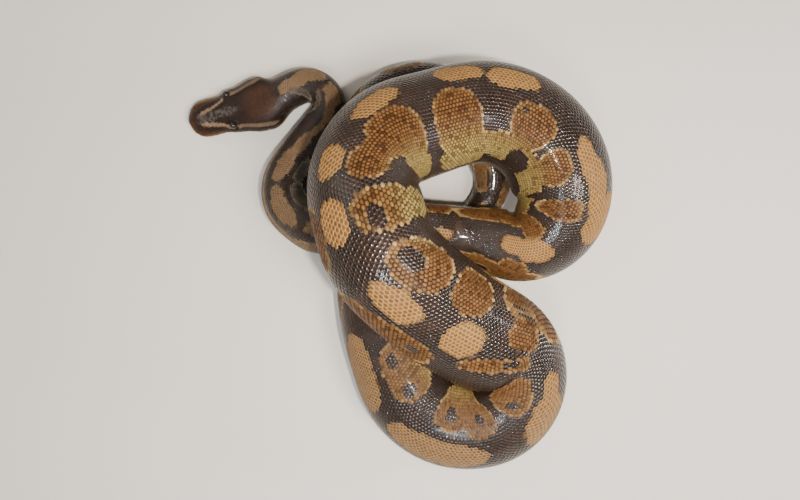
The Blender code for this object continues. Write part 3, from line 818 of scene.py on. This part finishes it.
def lay_plates(name, blank, roots, finish):
    """Bends a copy of the blank on to the skin at each root. A root is distance, angle,
    half length, half width, thickness and tilt; its markings are read at its middle."""
    distance, turn, half_length, half_width, thickness, tilt = np.array(roots).T
    count = len(distance)
    mesh = repeated(name, blank, count)
    corners = np.array([v.co for v in blank.vertices])
    x, y, z = (corners[:, k][None, :] for k in range(3))
    nothing = np.zeros(count)
    step, nudge = 0.001, 0.02
    ahead = on_surface(np.minimum(distance + step, TAIL_END), turn, nothing)
    behind = on_surface(np.maximum(distance - step, 0.0003), turn, nothing)
    along_scale = np.linalg.norm(ahead - behind, axis=-1) / (2 * step)
    beside = on_surface(distance, turn + nudge, nothing)
    other_side = on_surface(distance, turn - nudge, nothing)
    around_scale = np.linalg.norm(beside - other_side, axis=-1) / (2 * nudge)
    around_scale = np.maximum(around_scale, 0.0008)
    length_share = half_length * np.minimum(1.08, 1.75 / np.maximum(along_scale, 0.05))
    squeeze = np.clip(along_scale / 0.55, 0.25, 1.0)
    at_distance = distance[:, None] + y * length_share[:, None]
    at_turn = turn[:, None] + x * (half_width / around_scale)[:, None]
    lift = ((z - 0.22) * thickness[:, None] + y * tilt[:, None] * thickness[:, None]) * squeeze[:, None]
    place = on_surface(np.clip(at_distance, 0.0003, TAIL_END), at_turn, lift)
    mesh.vertices.foreach_set("co", place.reshape(-1).astype(np.float32))
    back = turn - back_roll(distance)
    store_markings(mesh, distance, back, 0.45, len(corners))
    edge = np.clip(np.hypot(x, y), 0, 1) * np.ones((count, 1))
    shade = chance.random(count)[:, None] * np.ones((1, len(corners)))
    # Each corner also carries the painted shade of the face's hollows.
    hollow_shade = hollow_shade_at(at_distance, at_turn)
    store_colours(mesh, "plate", np.stack([edge, shade, hollow_shade, np.ones_like(edge)], axis=-1))
    start, finish_at = distance.min(), distance.max() + 1e-6
    q = (back / math.tau + 0.5) % 1.0
    root_uv = np.stack([0.02 + 0.96 * (distance - start) / (finish_at - start),
                        0.02 + 0.96 * q], axis=-1)
    patch = np.stack([y[0], x[0]], axis=-1) * 0.0014
    vertex_uv = (root_uv[:, None, :] + patch[None, :, :]).reshape(-1, 2)
    loops = np.zeros(len(mesh.loops), dtype=np.int32)
    mesh.loops.foreach_get("vertex_index", loops)
    layer = mesh.uv_layers.new(name="OFBake")
    layer.data.foreach_set("uv", vertex_uv[loops].reshape(-1).astype(np.float32))
    mesh.materials.clear()
    mesh.materials.append(finish)
    mesh.update()
    piece = linked(name, mesh)
    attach(piece, "root")


BELLY_EDGE = math.radians(143)
scale_finish = hide_finish("scale", 0.25)


def scale_roots(first, last, rows):
    """Staggered rows: every other row round the body fills the gaps of the one before."""
    roots = []
    distance, odd = first, False
    angle_step = 2 * BELLY_EDGE / rows
    while distance < last:
        half = float(axis_at(girth, distance))
        row_width = half * angle_step
        bent = min(half * abs(float(axis_at(bend_right, distance))), 1.0)
        belly_turn = BELLY_ROLL * float(back_roll(distance))
        half_length = 0.5 * (1.16 - 0.20 * bent) * row_width
        for number in range(1 if odd else 0, rows, 2):
            turn = -BELLY_EDGE + (number + 0.5) * angle_step + belly_turn
            roots.append((distance + chance.normal(0, 0.00006), turn, 1.06 * half_length,
                          0.645 * row_width, 0.17 * row_width + 0.00008, 0.16))
        distance += half_length
        odd = not odd
    return roots


# Each stretch of the body is a few joined pieces of at most this many scales.
PIECE_SCALES = 5700
body_scale = blank_plate("body_scale", 6, 1.9)
for stretch, first, last, rows in (("neck", 0.0670, 0.2850, 49), ("trunk", 0.2850, 0.9500, 79),
                                   ("tail", 0.9500, 1.1395, 41)):
    found = scale_roots(first, last, rows)
    pieces = math.ceil(len(found) / PIECE_SCALES)
    share = math.ceil(len(found) / pieces)
    for number in range(pieces):
        lay_plates(f"scales_{stretch}_{number + 1}", body_scale,
                   found[number * share:(number + 1) * share], scale_finish)


# ---- Belly plates ----------------------------------------------------------------------
# One broad smooth plate of keratin after another under the body, cream, each overlapping the
# next towards the tail and bent on to the skin. They are what the snake lies on.
belly_blank_build = bmesh.new()
bmesh.ops.create_grid(belly_blank_build, x_segments=14, y_segments=3, size=1.0)
for vertex in belly_blank_build.verts:
    at_edge = max(abs(vertex.co.x), abs(vertex.co.y)) > 0.99
    vertex.co.z = 0.0 if at_edge else 1.0
    vertex.co.y *= 1.0 if at_edge else 2.4
belly_blank = bpy.data.meshes.new("belly_plate")
bmesh.ops.recalc_face_normals(belly_blank_build, faces=belly_blank_build.faces)
belly_blank_build.to_mesh(belly_blank)
belly_blank_build.free()
belly_blank.shade_smooth()
belly_roots = []
distance = 0.0700
while distance < 1.125:
    half = float(axis_at(girth, distance))
    half_length = max(0.078 * half, 0.0007)
    turn = math.pi + BELLY_ROLL * float(back_roll(distance))
    belly_roots.append((distance, turn, half_length, 0.62 * half, 0.00034, 0.30))
    distance += 1.86 * half_length
lay_plates("belly_plates", belly_blank, belly_roots, scale_finish)


# ---- Head scales -----------------------------------------------------------------------
# Larger plates of keratin on the snout pass into small beady scales over the rear of the head.
# A row of tall plates lines each lip, and a ring of small ones holds each eye. All are bent on
# to the skin.
HEAD_ROW_WIDTH = np.array([(0.000, 0.00120), (0.010, 0.00130), (0.020, 0.00112), (0.030, 0.00090),
                           (0.045, 0.00080), (0.067, 0.00084)])


def round_arc(distance):
    """Angles round the head with the length of skin from the middle of the crown to each."""
    angles = np.linspace(0, math.pi, 90)
    arcs = []
    for side in (-1, 1):
        points = on_surface(np.full(90, distance), side * angles, np.zeros(90))
        gaps = np.linalg.norm(np.diff(points, axis=0), axis=1)
        arcs.append((np.concatenate([[0.0], np.cumsum(gaps)]), points[:, 2]))
    return angles, arcs


def lengthwise_stretch(distance):
    """How much longer the skin over the crown is than the axis beneath it."""
    at = np.array([distance, distance + 0.0004])
    stretches = []
    for turn in (0.0, 1.0, -1.0):
        ends = on_surface(at, np.full(2, turn), np.zeros(2))
        stretches.append(np.linalg.norm(ends[1] - ends[0]) / 0.0004)
    return max(float(np.mean(stretches)), 1.0)


EYE_ASIDE = 0.0100
EYE_CLEARANCE = 0.0041
EYE_RING_RADIUS, EYE_RING_SCALES, EYE_RING_HALF_SIZE = 0.0029, 11, 0.00102
MOUTH_END = 0.0500
SNOUT_END = 0.0250
LIP_HALF_LENGTH, UPPER_HALF_WIDTH, LOWER_HALF_WIDTH = 0.00186, 0.00140, 0.00118
eye_points = {side: axis_at(path, EYE_ALONG) + side * EYE_ASIDE * axis_at(right, EYE_ALONG)
              for side in (-1, 1)}
for side in (-1, 1):
    eye_points[side][2] = EYE_HEIGHT
snout_roots, crown_roots, lip_roots, ring_roots = [], [], [], []
distance, odd = 0.0009, False
while distance < 0.0668:
    row_width = float(read_off(HEAD_ROW_WIDTH, distance))
    half_length = 0.5 * 1.30 * row_width
    mouth = float(read_off(MOUTH_LINE, distance))
    angles, arcs = round_arc(distance)
    for side, (arc, _) in zip((-1, 1), arcs):
        for number in range(0 if odd else 1, 80, 2):
            if number * row_width > arc[-1]:
                break
            if number == 0 and side == 1:
                continue
            turn = side * float(np.interp(number * row_width, arc, angles))
            here = on_surface(np.array([distance]), np.array([turn]), np.zeros(1))[0]
            if np.linalg.norm(here - eye_points[side]) < EYE_CLEARANCE:
                continue
            if distance < MOUTH_END and mouth - 0.0026 < here[2] < mouth + 0.0030:
                continue
            laid = snout_roots if distance < SNOUT_END else crown_roots
            laid.append((distance, turn, half_length, 0.74 * row_width,
                         0.00012 + 0.14 * row_width, 0.12))
    distance += half_length / lengthwise_stretch(distance)
    odd = not odd

for side in (-1, 1):
    for number in range(LIP_PLATES):
        distance = lip_plate_at(number)
        mouth = float(read_off(MOUTH_LINE, distance))
        angles, arcs = round_arc(distance)
        arc, height = arcs[0 if side < 0 else 1]
        upper = float(np.interp(mouth + UPPER_LIP, height[::-1], angles[::-1]))
        lower = float(np.interp(mouth + LOWER_LIP, height[::-1], angles[::-1]))
        lip_roots.append((distance, side * upper, LIP_HALF_LENGTH, UPPER_HALF_WIDTH, 0.00036, 0.0))
        lip_roots.append((distance, side * lower, LIP_HALF_LENGTH, LOWER_HALF_WIDTH, 0.00032, 0.0))
    angles, arcs = round_arc(EYE_ALONG)
    arc, height = arcs[0 if side < 0 else 1]
    eye_turn = float(np.interp(EYE_HEIGHT, height[::-1], angles[::-1]))
    eye_arc = float(np.interp(eye_turn, angles, arc))
    for number in range(EYE_RING_SCALES):
        spoke = math.tau * number / EYE_RING_SCALES
        at = EYE_ALONG + EYE_RING_RADIUS * math.cos(spoke)
        turn = float(np.interp(eye_arc + EYE_RING_RADIUS * math.sin(spoke), arc, angles))
        ring_roots.append((at, side * turn, EYE_RING_HALF_SIZE, EYE_RING_HALF_SIZE, 0.00036, 0.0))
for name, blank_name, sides, power, roots in (
        ("snout_plates", "snout_scale", 8, 1.7, snout_roots),
        ("crown_scales", "crown_scale", 6, 1.9, crown_roots),
        ("lip_plates", "square_plate", 12, 3.6, lip_roots),
        ("eye_rings", "ring_scale", 10, 2.2, ring_roots)):
    lay_plates(name, blank_plate(blank_name, sides, power), roots, scale_finish)


# ---- Eyes ------------------------------------------------------------------------------
# Each eye is a clear glossy scale over a dark brown iris with an upright slit. It is one smooth
# ball, its iris, slit and dark border coloured on, set in its ring of scales.
eye_finish = bpy.data.materials.new("eye")
eye_finish.use_nodes = True
eye_tree = eye_finish.node_tree
eye_shader = eye_tree.nodes["Principled BSDF"]
eye_shader.inputs["Roughness"].default_value = 0.10
eye_shader.inputs["Specular IOR Level"].default_value = 0.35
eye_shader.inputs["Coat Weight"].default_value = 0.35
eye_shader.inputs["Coat Roughness"].default_value = 0.03
gaze_reader = eye_tree.nodes.new("ShaderNodeAttribute")
gaze_reader.attribute_name = "gaze"
gaze = eye_tree.nodes.new("ShaderNodeSeparateColor")
eye_tree.links.new(gaze_reader.outputs["Color"], gaze.inputs[0])
fibres = eye_tree.nodes.new("ShaderNodeTexNoise")
fibres.inputs["Scale"].default_value = 1600.0
eye_place = eye_tree.nodes.new("ShaderNodeTexCoord")
eye_tree.links.new(eye_place.outputs["Object"], fibres.inputs["Vector"])
iris = mixed(eye_tree, fibres.outputs["Fac"], (0.010, 0.006, 0.004), (0.050, 0.030, 0.017))
eye_colour = mixed(eye_tree, gaze.outputs[0], iris, (0.002, 0.002, 0.002))
eye_colour = mixed(eye_tree, gaze.outputs[1], eye_colour, (0.010, 0.007, 0.005))
eye_tree.links.new(eye_colour, eye_shader.inputs["Base Color"])
PUPIL_HALF_WIDTH, PUPIL_HALF_HEIGHT, IRIS_RADIUS = 0.00028, 0.0017, 0.0021
for name, side in (("eye_right", -1), ("eye_left", 1)):
    build = bmesh.new()
    bmesh.ops.create_uvsphere(build, u_segments=48, v_segments=32, radius=EYE_RADIUS)
    outward_axis = unit(side * axis_at(right, EYE_ALONG) + np.array([0.0, 0.0, 0.35])
                        - 0.25 * axis_at(forward, EYE_ALONG))
    upright = unit(np.array([0.0, 0.0, 1.0]) - outward_axis * outward_axis[2])
    sideways = np.cross(upright, outward_axis)
    looks = []
    for vertex in build.verts:
        ball_x, ball_y, ball_z = vertex.co
        taper = max(0.0, 1 - abs(ball_y) / PUPIL_HALF_HEIGHT) ** 0.5
        pupil = abs(ball_x) < PUPIL_HALF_WIDTH * taper + 0.00004
        pupil = pupil and abs(ball_y) < PUPIL_HALF_HEIGHT and ball_z > 0
        border = math.hypot(ball_x, ball_y) > IRIS_RADIUS
        looks.append((float(pupil), float(border), 0.0, 1.0))
        vertex.co = eye_points[side] + sideways * ball_x + upright * ball_y + outward_axis * ball_z
    bmesh.ops.recalc_face_normals(build, faces=build.faces)
    eye_mesh = bpy.data.meshes.new(name + "_ball")
    build.to_mesh(eye_mesh)
    build.free()
    eye_mesh.shade_smooth()
    store_colours(eye_mesh, "gaze", np.array(looks))
    eye_mesh.materials.append(eye_finish)
    eye = linked(name + "_ball", eye_mesh)
    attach(eye, "root")
    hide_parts(name)
